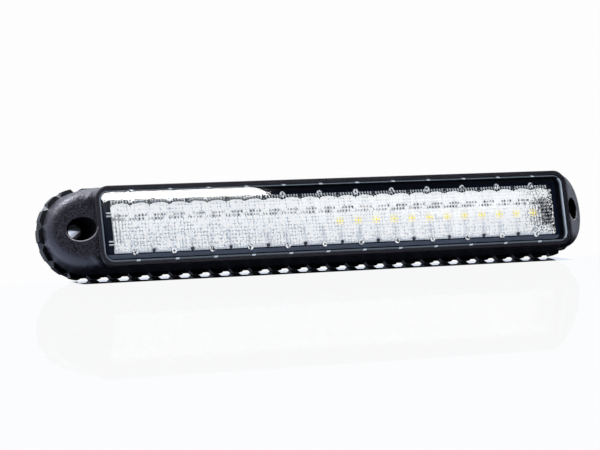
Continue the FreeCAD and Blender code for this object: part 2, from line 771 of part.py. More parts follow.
def build_wire_terminals():
    """Round posts on the back of the board, where the cable's cores are soldered."""
    body = new_body("wire_terminals")
    post = new_sketch(body, "Post", x=size.terminal_start, height=board_back)
    post_pad = pad(body, circle(post, size.terminal_radius), size.terminal_height, backwards=True)
    row(body, post_pad, post, size.terminal_pitch, size.terminal_count)
    return body


pitch = size.led_pitch
colour_pitch = pitch * 2
half_row = size.led_count / 2
colour_count = size.led_count / 4
bodies = [
    build_front_bezel(),
    build_mounting_base(),
    build_housing_tub(),
    build_circuit_board(),
    build_mask_frame(),
    build_inner_optic(),
    build_optic_pins(),
    build_outer_lens(),
    build_lens_seal(),
    build_cable_grommet(),
    build_screw_sleeves(),
    build_leds("red_leds", first_led_x, colour_pitch, colour_count),
    build_leds("amber_leds", first_led_x + pitch, colour_pitch, colour_count),
    build_leds("white_leds", pitch / 2, pitch, half_row),
    build_board_parts("driver_chips", size.chip_length, size.chip_width, size.chip_height,
                      size.chip_start, ZERO, colour_pitch, size.chip_count),
    build_board_parts("input_diodes", size.diode_length, size.diode_width, size.diode_height,
                      size.diode_start, size.part_row, pitch, size.diode_count),
    build_board_parts("capacitors", size.capacitor_length, size.capacitor_width, size.capacitor_height,
                      size.capacitor_start, -size.part_row, size.capacitor_pitch, size.capacitor_count),
    build_board_parts("sense_resistors", size.resistor_length, size.resistor_width, size.resistor_height,
                      first_pin_x + pitch, size.resistor_row, colour_pitch, half_row - 1),
    build_wire_terminals(),
]

document.recompute()
failed = [item.Name for item in document.Objects if {"Invalid", "Error"} & set(item.State)]
if failed:
    raise RuntimeError(f"failed features: {failed}")
for body in bodies:
    if body.Shape.isNull() or not body.Shape.isValid() or not body.Shape.Solids:
        raise RuntimeError(f"{body.Label} has no valid solid")

os.makedirs("parts", exist_ok=True)
for body in bodies:
    body.Shape.exportStep(f"parts/{body.Label}.step")
    print(body.Label, len(body.Shape.Solids), "solids,", round(body.Shape.Volume, 1), "mm3")
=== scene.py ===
"""Looks of a slim combination lamp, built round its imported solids.

X runs along the lamp, the lens faces -Y and Z is up. Lengths are metres, and MM turns a
length in millimetres into metres. A Step is a pair of values between which a pattern starts
and ends, or over which it is spread.
"""

import logging
import math
from dataclasses import dataclass, field
from enum import Enum
from typing import Callable

import bpy
from mathutils import Matrix, Vector


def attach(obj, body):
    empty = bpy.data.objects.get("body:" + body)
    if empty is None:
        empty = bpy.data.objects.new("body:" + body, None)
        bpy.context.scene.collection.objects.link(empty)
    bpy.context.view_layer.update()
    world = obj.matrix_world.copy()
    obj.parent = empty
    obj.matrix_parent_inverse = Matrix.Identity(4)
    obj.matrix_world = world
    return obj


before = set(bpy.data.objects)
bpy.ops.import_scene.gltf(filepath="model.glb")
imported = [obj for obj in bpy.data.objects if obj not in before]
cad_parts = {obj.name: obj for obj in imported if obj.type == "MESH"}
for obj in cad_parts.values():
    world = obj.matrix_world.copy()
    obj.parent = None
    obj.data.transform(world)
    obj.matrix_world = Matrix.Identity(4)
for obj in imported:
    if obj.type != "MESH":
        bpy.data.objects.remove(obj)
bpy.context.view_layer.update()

MM = 0.001
LOG = logging.getLogger("combination_lamp")
BODY = "root"
Triple = tuple[float, float, float]
Colour = Triple
Step = tuple[float, float]


class Slot(str, Enum):
    """Material slots of the record; the new pieces here get materials of their own instead."""

    OPTIC = "optic_clear"


class Side(Enum):
    """The two long sides of the lamp, as a sign on Z."""

    UPPER = 1
    LOWER = -1


class LightColour(Enum):
    """Colour of an unlit light source's dome, with the name of its node."""

    RED = ("red_leds", (0.55, 0.06, 0.05))
    AMBER = ("amber_leds", (0.75, 0.3, 0.04))
    WHITE = ("white_leds", (0.9, 0.78, 0.08))

    @property
    def node(self) -> str:
        """Name of the CAD node that holds this colour's light sources."""
        return self.value[0]

    @property
    def dome(self) -> Colour:
        """Colour of the dome."""
        return self.value[1]


class Signal:
    """A socket's value, on which Python arithmetic adds Math nodes."""

    def __init__(self, surface: "Surface", socket: bpy.types.NodeSocket) -> None:
        """Keep the socket and the surface whose nodes it belongs to."""
        self.surface = surface
        self.socket = socket

    def math(self, operation: str, *values: "Signal | float") -> "Signal":
        """Result of one Math node, from Blender's name of its operation and its inputs in order."""
        return self.surface.node("ShaderNodeMath", {"operation": operation}, dict(enumerate(values)))

    def __add__(self, other: "Signal | float") -> "Signal":
        """Sum of two values."""
        return self.math("ADD", self, other)

    def __radd__(self, other: float) -> "Signal":
        """Sum with a number on the left."""
        return self.math("ADD", other, self)

    def __sub__(self, other: "Signal | float") -> "Signal":
        """Difference of two values."""
        return self.math("SUBTRACT", self, other)

    def __rsub__(self, other: float) -> "Signal":
        """Difference from a number on the left."""
        return self.math("SUBTRACT", other, self)

    def __mul__(self, other: "Signal | float") -> "Signal":
        """Product of two values."""
        return self.math("MULTIPLY", self, other)

    def __rmul__(self, other: float) -> "Signal":
        """Product with a number on the left."""
        return self.math("MULTIPLY", other, self)

    def __truediv__(self, other: "Signal | float") -> "Signal":
        """Quotient of two values."""
        return self.math("DIVIDE", self, other)

    def __rtruediv__(self, other: float) -> "Signal":
        """Quotient with a number on the left."""
        return self.math("DIVIDE", other, self)

    def absolute(self) -> "Signal":
        """Distance from zero."""
        return self.math("ABSOLUTE", self)

    def maximum(self, other: "Signal | float") -> "Signal":
        """The larger of two values."""
        return self.math("MAXIMUM", self, other)

    def off_middle(self) -> "Signal":
        """How far the value is from the middle between the whole numbers on either side."""
        return self.math("FRACT", self) - 0.5

    def hypot(self, other: "Signal") -> "Signal":
        """Length of the way over two offsets at right angles."""
        return self.math("SQRT", self * self + other * other)

    def above(self, limit: float) -> "Signal":
        """One where the value passes the limit, else zero."""
        return self.math("GREATER_THAN", self, limit)

    def below(self, limit: float) -> "Signal":
        """One where the value stays under the limit, else zero."""
        return self.math("LESS_THAN", self, limit)

    def smooth(self, low: float, high: float) -> "Signal":
        """A soft step from zero at low to one at high, which may be the smaller of the two."""
        settings = {"interpolation_type": "SMOOTHSTEP"}
        return self.surface.node("ShaderNodeMapRange", settings, {0: self, 1: low, 2: high})

    def spread(self, low: float, high: float) -> "Signal":
        """The value spread out, with zero at low and one at high."""
        return self * (high - low) + low


class Surface:
    """A material under construction: shaders and the nodes that feed them."""

    def __init__(self, name: str) -> None:
        """Start an empty material of that name."""
        self.material = bpy.data.materials.new(name)
        self.start(self.material, "ShaderNodeOutputMaterial")

    def start(self, owner: bpy.types.Material | bpy.types.World, output: str) -> None:
        """Empty the owner's nodes but for one output node.

        Args:
            owner: the material or world.
            output: Blender's name of the output node.
        """
        owner.use_nodes = True
        self.tree = owner.node_tree
        self.tree.nodes.clear()
        self.output = self.tree.nodes.new(output)

    def node(self, kind: str, settings: dict | None = None, sockets: dict | None = None,
             output: int | str = 0) -> Signal:
        """Add any node.

        Args:
            kind: Blender's name of the node type.
            settings: properties of the node, set first.
            sockets: value or Signal for each input, by name or number; a colour has three channels.
            output: the output that is wanted.

        Returns:
            That output's value.
        """
        made = self.tree.nodes.new(kind)
        for name, value in (settings or {}).items():
            setattr(made, name, value)
        for key, value in (sockets or {}).items():
            socket = made.inputs[key]
            if isinstance(value, Signal):
                self.tree.links.new(value.socket, socket)
            else:
                socket.default_value = (*value, 1.0) if socket.type == "RGBA" else value
        return Signal(self, made.outputs[output])

    def split(self, vector: Signal) -> tuple[Signal, Signal, Signal]:
        """X, Y and Z of a vector."""
        return tuple(self.node("ShaderNodeSeparateXYZ", None, {0: vector}, axis) for axis in range(3))

    def place(self) -> tuple[Signal, Signal, Signal]:
        """The point's X, Y and Z in the lamp's frame, in millimetres."""
        point = self.node("ShaderNodeTexCoord", output="Object")
        return tuple(axis / MM for axis in self.split(point))

    def noise(self, size_mm: float, detail: float = 2.0, stretch: Triple = (1.0, 1.0, 1.0)) -> Signal:
        """Noise about one half, with grains of a given size.

        Args:
            size_mm: size of the grains.
            detail: octaves of finer noise.
            stretch: factor on the grain size along X, Y and Z.

        Returns:
            A value from zero to one.
        """
        point = self.node("ShaderNodeTexCoord", output="Object")
        squeeze = tuple(1.0 / factor for factor in stretch)
        spread = self.node("ShaderNodeVectorMath", {"operation": "MULTIPLY"}, {0: point, 1: squeeze})
        sockets = {"Vector": spread, "Scale": 1.0 / (size_mm * MM), "Detail": detail}
        return self.node("ShaderNodeTexNoise", {"noise_dimensions": "3D"}, sockets)

    def blend(self, share: Signal | float, first: Signal | Colour, second: Signal | Colour) -> Signal:
        """Mix of two colours, with a share of the second from zero to one."""
        return self.node("ShaderNodeMix", {"data_type": "RGBA"}, {0: share, 6: first, 7: second}, 2)

    def bump(self, height: Signal, depth_mm: float) -> Signal:
        """The normal of a face with relief from zero to one, which is that deep."""
        return self.node("ShaderNodeBump", None, {"Height": height, "Distance": depth_mm * MM})

    def normal(self) -> tuple[Signal, Signal, Signal]:
        """The face's own normal, as X, Y and Z in the lamp's frame."""
        return self.split(self.node("ShaderNodeNewGeometry", output="True Normal"))

    def gloss_share(self, straight: float = 0.04) -> Signal:
        """How much a clear face reflects, from a share straight on to all at a flat angle."""
        facing = self.node("ShaderNodeLayerWeight", None, {"Blend": 0.5}, "Facing")
        return facing.math("POWER", facing, 5.0) * (1.0 - straight) + straight

    def mix(self, share: Signal | float, first: Signal, second: Signal) -> Signal:
        """Mix of two shaders, with a share of the second from zero to one."""
        return self.node("ShaderNodeMixShader", None, {0: share, 1: first, 2: second})

    def principled(self, sockets: dict) -> Signal:
        """Add a Principled shader with these sockets set or linked."""
        return self.node("ShaderNodeBsdfPrincipled", None, sockets)

    def show(self, shader: Signal) -> None:
        """Show a shader as the surface."""
        self.tree.links.new(shader.socket, self.output.inputs["Surface"])

    def finish(self, shader: Signal) -> bpy.types.Material:
        """Show a shader as the surface and hand the material over."""
        self.show(shader)
        return self.material


class Surroundings(Surface):
    """The world under construction, from the same nodes as a material."""

    def __init__(self, name: str) -> None:
        """Start an empty world and show it.

        Args:
            name: the world's name.
        """
        world = bpy.data.worlds.new(name)
        bpy.context.scene.world = world
        self.start(world, "ShaderNodeOutputWorld")

    def glow(self, colour: Signal | Colour) -> Signal:
        """Light of one colour from all round."""
        return self.node("ShaderNodeBackground", None, {"Color": colour})


def shaded(colour: Colour, factor: float, lift: float = 0.0) -> Colour:
    """A colour whose channels are multiplied and then lifted, within zero and one."""
    return tuple(min(1.0, max(0.0, channel * factor + lift)) for channel in colour)


@dataclass(frozen=True)
class MouldedPlastic:
    """Opaque moulded plastic with a fine grain and faint flow marks."""

    name: str
    colour: Colour
    roughness: float
    grain_mm: float
    grain_depth_mm: float
    mottle: float = 0.35
    sparkle: float = 0.1
    specular: float = 0.6
    tint: Colour = (0.86, 0.92, 1.0)
    pit_step: Step = (0.38, 0.62)
    flow_mm: float = 9.0
    flow_stretch: Triple = (3.0, 1.0, 1.0)
    flow_share: float = 0.12

    def shader(self, surface: Surface) -> Signal:
        """The plastic's shader.

        Args:
            surface: the material that it is part of.

        Returns:
            The shader.
        """
        flow = surface.noise(self.flow_mm, 3.0, self.flow_stretch)
        grain = surface.noise(self.grain_mm, detail=1.0)
        pits = grain.smooth(*self.pit_step)
        dark = shaded(self.colour, 1.0 - self.mottle)
        pale = shaded(self.colour, 1.0 + self.mottle)
        smoothest = self.roughness - (self.flow_share + self.sparkle) / 2.0
        return surface.principled({
            "Base Color": surface.blend(pits, dark, pale),
            "Roughness": flow * self.flow_share + pits * self.sparkle + smoothest,
            "Specular IOR Level": self.specular,
            "Specular Tint": self.tint,
            "Normal": surface.bump(grain, self.grain_depth_mm),
        })

    def material(self) -> bpy.types.Material:
        """The plastic as a material."""
        surface = Surface(self.name)
        return surface.finish(self.shader(surface))


@dataclass(frozen=True)
class WelledPlastic(MouldedPlastic):
    """Moulded plastic with two deep round wells, with painted shade that makes them black inside and a
    painted highlight on their lower lip.
    """

    well_x_mm: float = 107.75
    well_radius_mm: float = 4.35
    well_shade_colour: Colour = (0.002, 0.002, 0.003)
    lip_mm: float = 0.3
    lip_z_mm: Step = (1.0, -3.0)
    lip_highlight_colour: Colour = (0.32, 0.3, 0.33)

    def material(self) -> bpy.types.Material:
        """The plastic and its wells as one material.

        Returns:
            The material.
        """
        surface = Surface(self.name)
        x, _, z = surface.place()
        radius = (x.absolute() - self.well_x_mm).hypot(z)
        # Painted shade: the wells are black inside.
        well_shade = surface.principled({
            "Base Color": self.well_shade_colour,
            "Roughness": 0.8,
            "Specular IOR Level": 0.05,
        })
        # Painted highlight: a pale lip along the lower edge of each well.
        painted_light = surface.principled({"Base Color": self.lip_highlight_colour, "Roughness": 0.4})
        lip = radius.below(self.well_radius_mm + self.lip_mm) * z.smooth(*self.lip_z_mm)
        with_lip_highlight = surface.mix(lip, self.shader(surface), painted_light)
        return surface.finish(surface.mix(radius.below(self.well_radius_mm), with_lip_highlight, well_shade))


@dataclass(frozen=True)
class SoftRubber:
    """Black rubber with a dull, slightly dusty skin."""

    name: str
    colour: Colour = (0.022, 0.022, 0.023)
    roughness: Step = (0.6, 0.8)
    dust_mm: float = 2.5
    dust_step: Step = (0.45, 0.75)
    dust_lift: float = 0.03
    pore_mm: float = 0.25
    pore_depth_mm: float = 0.03

    def material(self) -> bpy.types.Material:
        """The rubber as a material.

        Returns:
            The material.
        """
        surface = Surface(self.name)
        dust = surface.noise(self.dust_mm, detail=4.0)
        dusty = shaded(self.colour, 1.0, self.dust_lift)
        return surface.finish(surface.principled({
            "Base Color": surface.blend(dust.smooth(*self.dust_step), self.colour, dusty),
            "Roughness": dust.spread(*self.roughness),
            "Normal": surface.bump(surface.noise(self.pore_mm, detail=1.0), self.pore_depth_mm),
        }))


@dataclass(frozen=True)
class TurnedSteel:
    """Steel with the fine rings that a lathe leaves."""

    name: str
    colour: Colour = (0.66, 0.67, 0.69)
    roughness: Step = (0.22, 0.42)
    ring_mm: float = 0.5
    ring_stretch: Triple = (8.0, 0.25, 8.0)
    ring_depth_mm: float = 0.01
    stain_mm: float = 1.6
    stain_factor: float = 0.72

    def shader(self, surface: Surface) -> Signal:
        """The steel's shader.

        Args:
            surface: the material that it is part of.

        Returns:
            The shader.
        """
        rings = surface.noise(self.ring_mm, stretch=self.ring_stretch)
        stain = surface.noise(self.stain_mm, detail=3.0)
        return surface.principled({
            "Base Color": surface.blend(stain, self.colour, shaded(self.colour, self.stain_factor)),
            "Metallic": 1.0,
            "Roughness": rings.spread(*self.roughness),
            "Normal": surface.bump(rings, self.ring_depth_mm),
        })

    def material(self) -> bpy.types.Material:
        """The steel as a material."""
        surface = Surface(self.name)
        return surface.finish(self.shader(surface))


@dataclass(frozen=True)
class ShadedSleeve(TurnedSteel):
    """Steel sleeve with painted shade that makes it black, and painted light in a wedge that widens down
    its bore, where the plain steel shows.
    """

    axis_x_mm: float = 107.75
    bore_mm: float = 2.65
    lit_front_mm: float = 9.5
    lit_back_mm: float = 2.0
    lit_half_mm: float = 1.6
    lit_edge_mm: Step = (-0.1, 0.2)
    lit_share: Step = (0.3, 0.6)
    black: Colour = (0.002, 0.002, 0.003)
    paler_shade: Colour = (0.006, 0.006, 0.007)
    black_mm: float = 1.2
    black_roughness: Step = (0.5, 0.7)

    def material(self) -> bpy.types.Material:
        """The sleeve as a material.

        Returns:
            The material.
        """
        surface = Surface(self.name)
        x, y, z = surface.place()
        bore = (x.absolute() - self.axis_x_mm).hypot(z).below(self.bore_mm)
        # Painted light: the plain steel shows in a wedge down the bore, wider and brighter deeper in.
        reach = (y + self.lit_front_mm) * (self.lit_half_mm / (self.lit_front_mm - self.lit_back_mm))
        wedge = (reach - z.absolute()).smooth(*self.lit_edge_mm)
        # Painted shade: the rest of the sleeve is black, with a faint stain.
        stain = surface.noise(self.black_mm, detail=3.0)
        black = surface.principled({
            "Base Color": surface.blend(stain, self.black, self.paler_shade),
            "Roughness": stain.spread(*self.black_roughness),
            "Specular IOR Level": 0.2,
        })
        painted_light = bore * wedge * reach.spread(*self.lit_share)
        return surface.finish(surface.mix(painted_light, black, self.shader(surface)))


@dataclass(frozen=True)
class PolishedMask:
    """Polished black frame behind the lens, with painted light that makes the lower ledge greyer, below a
    painted shade line.
    """

    name: str
    colour: Colour = (0.001, 0.0042, 0.017)
    ledge_light_colour: Colour = (0.09, 0.11, 0.155)
    ledge_top_mm: float = -9.95
    line_shade_colour: Colour = (0.001, 0.0015, 0.003)
    line_mm: float = 0.4
    roughness: Step = (0.04, 0.12)
    haze_mm: float = 5.0
    haze_stretch: Triple = (4.0, 1.0, 1.0)
    ripple_mm: float = 1.2
    ripple_depth_mm: float = 0.004

    def material(self) -> bpy.types.Material:
        """The mask's plastic as a material.

        Returns:
            The material.
        """
        surface = Surface(self.name)
        _, _, z = surface.place()
        haze = surface.noise(self.haze_mm, stretch=self.haze_stretch)
        # Painted light makes the lower ledge greyer, and painted shade darkens a thin line along its top.
        ledge = z.below(self.ledge_top_mm)
        line = ledge * z.above(self.ledge_top_mm - self.line_mm)
        plain = surface.blend(ledge, self.colour, self.ledge_light_colour)
        return surface.finish(surface.principled({
            "Base Color": surface.blend(line, plain, self.line_shade_colour),
            "Roughness": haze.spread(*self.roughness),
            "Specular IOR Level": 0.06,
            "Normal": surface.bump(surface.noise(self.ripple_mm, detail=1.0), self.ripple_depth_mm),
        }))


@dataclass(frozen=True)
class ClearCover:
    """Clear lens: see-through in front, with painted glowing light on its rounded edge and end wall, and
    painted glints on its front edge at the ribs.
    """

    name: str
    clear: Colour = (0.985, 0.99, 0.995)
    edge_light_colour: Colour = (0.34, 0.42, 0.52)
    edge_share: float = 0.4
    edge_bend: Step = (0.12, 0.97)
    edge_roughness: Step = (0.08, 0.18)
    wall_light_colour: Colour = (0.66, 0.75, 0.85)
    wall_share: float = 0.9
    wall_facing: float = -0.35
    wall_x_mm: float = 100.6
    wall_depth_mm: Step = (17.8, 20.0)
    cloud_mm: float = 3.0
    cloud_share: Step = (0.6, 1.2)
    rib_pitch_mm: float = 16.0
    rib_reach_mm: float = 0.75
    rib_z_mm: float = 12.75
    rib_back_mm: float = 19.8

    def material(self) -> bpy.types.Material:
        """The lens as a material.

        Returns:
            The material.
        """
        surface = Surface(self.name)
        x, y, z = surface.place()
        across, inward, _ = surface.normal()
        depth = 0.0 - y
        cloud = surface.noise(self.cloud_mm)
        # Painted light on the lens's inner end wall, stronger towards the front.
        lit = depth.smooth(*self.wall_depth_mm) * cloud.spread(*self.cloud_share)
        wall = across.below(self.wall_facing) * x.above(self.wall_x_mm) * lit * self.wall_share
        # Painted glints: short bright dashes on the front edge at each rib.
        off_rib = (x / self.rib_pitch_mm).off_middle().absolute() * self.rib_pitch_mm
        front_edge = z.absolute().above(self.rib_z_mm) * depth.above(self.rib_back_mm)
        bright = wall.maximum(off_rib.below(self.rib_reach_mm) * front_edge)
        flattest, steepest = self.edge_bend
        rounded = inward.absolute().above(flattest) * inward.absolute().below(steepest)
        clear = surface.node("ShaderNodeBsdfTransparent", None, {"Color": self.clear})
        gloss = surface.node("ShaderNodeBsdfGlossy", None, {"Roughness": 0.02})
        # Painted light: this colour also glows on the rounded edge, the end wall and the dashes.
        light = surface.blend(bright, self.edge_light_colour, self.wall_light_colour)
        edge = surface.principled({
            "Base Color": light,
            "Roughness": cloud.spread(*self.edge_roughness),
            "Emission Color": light,
            "Emission Strength": 0.6,
        })
        share = (rounded * self.edge_share).maximum(bright)
        return surface.finish(surface.mix(share, surface.mix(surface.gloss_share(), clear, gloss), edge))


@dataclass(frozen=True)
class CellPlace:
    """A point on the row of cells.

    x and z are its millimetres along and across the row, phase its place along it in cells, tier its
    place across it in pillows, and off_column and off_tier its way from the pillow's middle, in pillows.
    """

    x: Signal
    z: Signal
    phase: Signal
    tier: Signal
    off_column: Signal
    off_tier: Signal


@dataclass(frozen=True)
class PillowOptic:
    """Clear optic painted to glow and sparkle white, with the light sources' tint showing through.

    Fields in _x_mm and _z_mm are places along and across the row. upper_dots and lower_dots give the
    middle and the reach of a group of dots, in cells.
    """

    name: str
    pale: Colour = (0.99, 0.985, 0.975)
    shade: Colour = (0.26, 0.3, 0.36)
    margin: Colour = (0.62, 0.66, 0.72)
    deep: Colour = (0.002, 0.004, 0.01)
    spot: Colour = (0.98, 0.8, 0.02)
    glow: float = 0.5
    roughness: Step = (0.1, 0.25)
    pillow_mm: float = 8.0 / 6.0
    cell_mm: float = 8.0
    face_mm: float = 17.6
    row_half_mm: float = 96.0
    seam_step: Step = (0.22, 0.5)
    seam_share: float = 0.6
    seam_streak: Step = (0.25, 0.9)
    seam_fade: float = 0.35
    seam_fade_x_mm: Step = (-20.0, 60.0)
    streak_mm: float = 0.8
    streak_stretch: Triple = (1.0, 1.0, 4.0)
    streak_step: Step = (0.4, 0.62)
    speck_mm: float = 0.52
    speck_step: Step = (0.48, 0.66)
    speck_share: float = 0.2
    low_z_mm: Step = (6.0, -8.0)
    low_speck_share: float = 0.32
    low_share: float = 0.1
    left_x_mm: Step = (20.0, -70.0)
    left_speck_share: float = 0.3
    joint_step: Step = (0.25, 0.5)
    joint_z_mm: Step = (1.0, -7.0)
    joint_share: float = 0.3
    dot_step: Step = (0.48, 0.24)
    dot_streak: Step = (0.45, 0.9)
    dot_tier: int = 3
    upper_dots: Step = (0.5, 0.36)
    lower_dots: Step = (0.3, 0.4)
    spot_z_mm: float = -1.2
    spot_pitch_mm: float = 1.25
    spot_step: Step = (0.46, 0.28)
    group_x_mm: Step = (2.4, 0.5)
    group_z_mm: Step = (1.9, 0.4)
    lit_from_mm: float = -4.0
    lit_to_mm: float = 92.0
    far_x_mm: Step = (79.0, 92.0)
    far_share: float = 0.9
    end_x_mm: Step = (84.0, 92.0)
    left_end_x_mm: Step = (-89.0, -95.0)
    left_end_share: float = 0.6
    block_x_mm: Step = (90.5, 92.5)
    bar_share: float = 0.4
    stripe_step: Step = (0.15, 0.4)
    stripe_share: float = 0.9
    stripe_streak: Step = (0.8, 1.0)
    stripe_z_mm: float = -1.0
    stripe_reach_mm: Step = (6.5, 4.0)
    spark_mm: float = 0.42
    spark_step: Step = (0.5, 0.6)
    crown_radius_mm: float = 9.2
    crown_top_mm: float = 8.75
    crown_grain_mm: float = 0.6
    crown_even: float = 0.45
    crown_ragged_mm: float = 1.6

    def material(self) -> bpy.types.Material:
        """The optic as a material.

        Returns:
            The material.
        """
        surface = Surface(self.name)
        x, y, z = surface.place()
        tier = z / self.pillow_mm + 0.5
        off_column = (x / self.pillow_mm).off_middle()
        at = CellPlace(x, z, x / self.cell_mm, tier, off_column, tier.off_middle())
        streak = surface.noise(self.streak_mm, 1.0, self.streak_stretch).smooth(*self.streak_step)
        face = self.face_colour(surface, at, streak)
        colour = surface.blend(y.above(-self.face_mm), face, self.margin_colour(surface, at))
        colour = surface.blend(self.crown(surface, at), colour, self.deep)
        return surface.finish(surface.principled({
            "Base Color": colour,
            "Roughness": streak.spread(*self.roughness),
            "Specular IOR Level": 0.03,
            # Painted glow: the optic's colour also shines, standing in for the light that it sends back.
            "Emission Color": colour,
            "Emission Strength": self.glow,
        }))

    def face_colour(self, surface: Surface, at: CellPlace, streak: Signal) -> Signal:
        """Colour of the cells' face, with painted shade between its pillows, painted sparkle specks, dots
        and spots.

        Args:
            surface: the material that it is part of.
            at: the point on the row.
            streak: upright streaks from zero to one.

        Returns:
            The colour.
        """
        # Painted shade in the valleys between the pillows, with less of it towards the right.
        seam = at.off_column.absolute().smooth(*self.seam_step)
        rung = at.off_tier.absolute().smooth(*self.seam_step)
        lighter_right = at.x.smooth(*self.seam_fade_x_mm) * self.seam_fade
        valley_shade = (seam.maximum(rung) + seam * rung) * self.seam_share * streak.spread(*self.seam_streak)
        # Painted sparkle: specks of shade, more of them towards the bottom and the left.
        speck = surface.noise(self.speck_mm, detail=1.0).smooth(*self.speck_step)
        low = at.z.smooth(*self.low_z_mm)
        left = at.x.smooth(*self.left_x_mm)
        sparkle_specks = speck * (low * self.low_speck_share + left * self.left_speck_share + self.speck_share)
        joint = at.phase.off_middle().absolute().smooth(*self.joint_step) * at.z.smooth(*self.joint_z_mm)
        stripes = self.end_stripes(at) * streak.spread(*self.stripe_streak)
        dot = at.off_column.hypot(at.off_tier).smooth(*self.dot_step)
        dots = dot * self.dark_dots(at) * streak.spread(*self.dot_streak)
        colour = surface.blend(valley_shade * (1.0 - lighter_right), self.pale, self.shade)
        colour = surface.blend(sparkle_specks, colour, self.shade)
        colour = surface.blend(joint * self.joint_share + low * self.low_share, colour, self.shade)
        colour = surface.blend(speck * at.x.smooth(*self.far_x_mm) * self.far_share, colour, self.deep)
        colour = surface.blend(stripes, colour, self.deep)
        colour = surface.blend(dots, colour, self.deep)
        return surface.blend(self.tint(at), colour, self.spot)

    def margin_colour(self, surface: Surface, at: CellPlace) -> Signal:
        """Colour of the plate round the cells: grey below them, with painted glints past the right end,
        else dark.

        Args:
            surface: the material that it is part of.
            at: the point on the row.

        Returns:
            The colour.
        """
        # Painted glints: pale specks on the plate past the right end.
        glint_specks = surface.noise(self.spark_mm, detail=1.0).smooth(*self.spark_step)
        below_cells = at.z.below(0.0) * at.x.absolute().below(self.row_half_mm)
        colour = surface.blend(below_cells, self.deep, self.margin)
        return surface.blend(at.x.above(self.row_half_mm) * glint_specks, colour, self.pale)

    def end_stripes(self, at: CellPlace) -> Signal:
        """Dark stripes between the columns of the outer cells, closing up to a barred block at the far end.

        Args:
            at: the point on the row.

        Returns:
            How dark the point is.
        """
        zone = (at.z - self.stripe_z_mm).absolute().smooth(*self.stripe_reach_mm)
        stripe = at.off_column.absolute().smooth(*self.stripe_step)
        bar = at.off_tier.absolute().smooth(*self.stripe_step)
        near_end = at.x.smooth(*self.end_x_mm) + at.x.smooth(*self.left_end_x_mm) * self.left_end_share
        block = at.x.smooth(*self.block_x_mm) * (1.0 - bar * self.bar_share)
        return (stripe * near_end * self.stripe_share).maximum(block) * zone

    def dark_dots(self, at: CellPlace) -> Signal:
        """Two rows of pillows that show dark, in groups that take turns.

        Args:
            at: the point on the row.

        Returns:
            One on those pillows, else zero.
        """
        upper = (at.tier - self.dot_tier - 0.5).absolute().below(0.5)
        lower = (at.tier - self.dot_tier + 0.5).absolute().below(0.5)
        return upper * self.near(at.phase, *self.upper_dots) + lower * self.near(at.phase, *self.lower_dots)

    def tint(self, at: CellPlace) -> Signal:
        """Small spots that show the colour of a light source.

        Args:
            at: the point on the row.

        Returns:
            Strength of the tint.
        """
        along = (at.phase + 0.5).off_middle() * self.cell_mm
        across = at.z - self.spot_z_mm
        off_along = (along / self.spot_pitch_mm + 0.5).off_middle()
        off_across = (across / self.spot_pitch_mm + 0.5).off_middle()
        spots = off_along.hypot(off_across).smooth(*self.spot_step)
        group = along.absolute().smooth(*self.group_x_mm) * across.absolute().smooth(*self.group_z_mm)
        return spots * group * at.x.above(self.lit_from_mm) * at.x.below(self.lit_to_mm)

    def crown(self, surface: Surface, at: CellPlace) -> Signal:
        """The bare rim above the pillows of a cell.

        Args:
            surface: the material that it is part of.
            at: the point on the row.

        Returns:
            One on that rim, else zero.
        """
        along = at.phase.off_middle() * self.cell_mm
        across = at.z + (self.crown_radius_mm - self.crown_top_mm)
        grain = surface.noise(self.crown_grain_mm, detail=1.0)
        ragged = (grain - self.crown_even).maximum(0.0) * self.crown_ragged_mm
        return (along.hypot(across) + ragged).above(self.crown_radius_mm) * at.z.above(0.0)

    @staticmethod
    def near(phase: Signal, middle: float, reach: float) -> Signal:
        """One where the place in a cell is within reach of a middle, else zero."""
        return (phase - middle + 0.5).off_middle().absolute().below(reach)


@dataclass(frozen=True)
class ClearPost:
    """Small clear posts and flutes, with a painted glow and painted glints in patches at the front, and
    painted shade behind.
    """

    name: str
    colour: Colour
    top_mm: float = 0.0
    glow: float = 0.25
    patch_shade_factor: float = 0.6
    back_shade_factor: float = 0.06
    roughness: Step = (0.06, 0.16)
    patch_mm: float = 0.8
    patch_step: Step = (0.2, 0.8)

    def material(self) -> bpy.types.Material:
        """The clear plastic as a material.

        Returns:
            The material.
        """
        surface = Surface(self.name)
        _, y, _ = surface.place()
        cloud = surface.noise(self.patch_mm)
        dull = shaded(self.colour, self.patch_shade_factor)
        # Painted glints: patches of the colour among a painted shade of it.
        glint_patches = surface.blend(cloud.smooth(*self.patch_step), self.colour, dull)
        # Painted shade behind the front.
        colour = surface.blend(y.below(-self.top_mm), shaded(self.colour, self.back_shade_factor), glint_patches)
        return surface.finish(surface.principled({
            "Base Color": colour,
            "Roughness": cloud.spread(*self.roughness),
            # Painted glow: the colour also shines.
            "Emission Color": colour,
            "Emission Strength": self.glow,
        }))


@dataclass(frozen=True)
class MirrorFloor:
    """White glossy table that shows a faint mirror image, with a painted shadow under the lamp, where it
    turns to a full mirror.
    """

    name: str
    colour: Colour = (0.982, 0.984, 0.99)
    mirror: float = 0.088
    under_front_mm: float = -12.5
    under_back_mm: float = 1.0
    under_half_mm: float = 106.0
    soft_mm: float = 1.5

    def material(self) -> bpy.types.Material:
        """The table as a material.

        Returns:
            The material.
        """
        surface = Surface(self.name)
        x, y, _ = surface.place()
        # Painted shadow: under the lamp the table turns into a full mirror of the lamp's dark underside.
        deep = y.smooth(self.under_front_mm - self.soft_mm, self.under_front_mm)
        along = x.absolute().smooth(self.under_half_mm + 2.0 * self.soft_mm, self.under_half_mm)
        under = deep * y.below(self.under_back_mm) * along
        glow = surface.node("ShaderNodeEmission", None, {"Color": self.colour})
        gloss = surface.node("ShaderNodeBsdfGlossy", None, {"Roughness": 0.02})
        share = (surface.gloss_share(0.0) * self.mirror).maximum(under)
        return surface.finish(surface.mix(share, glow, gloss))


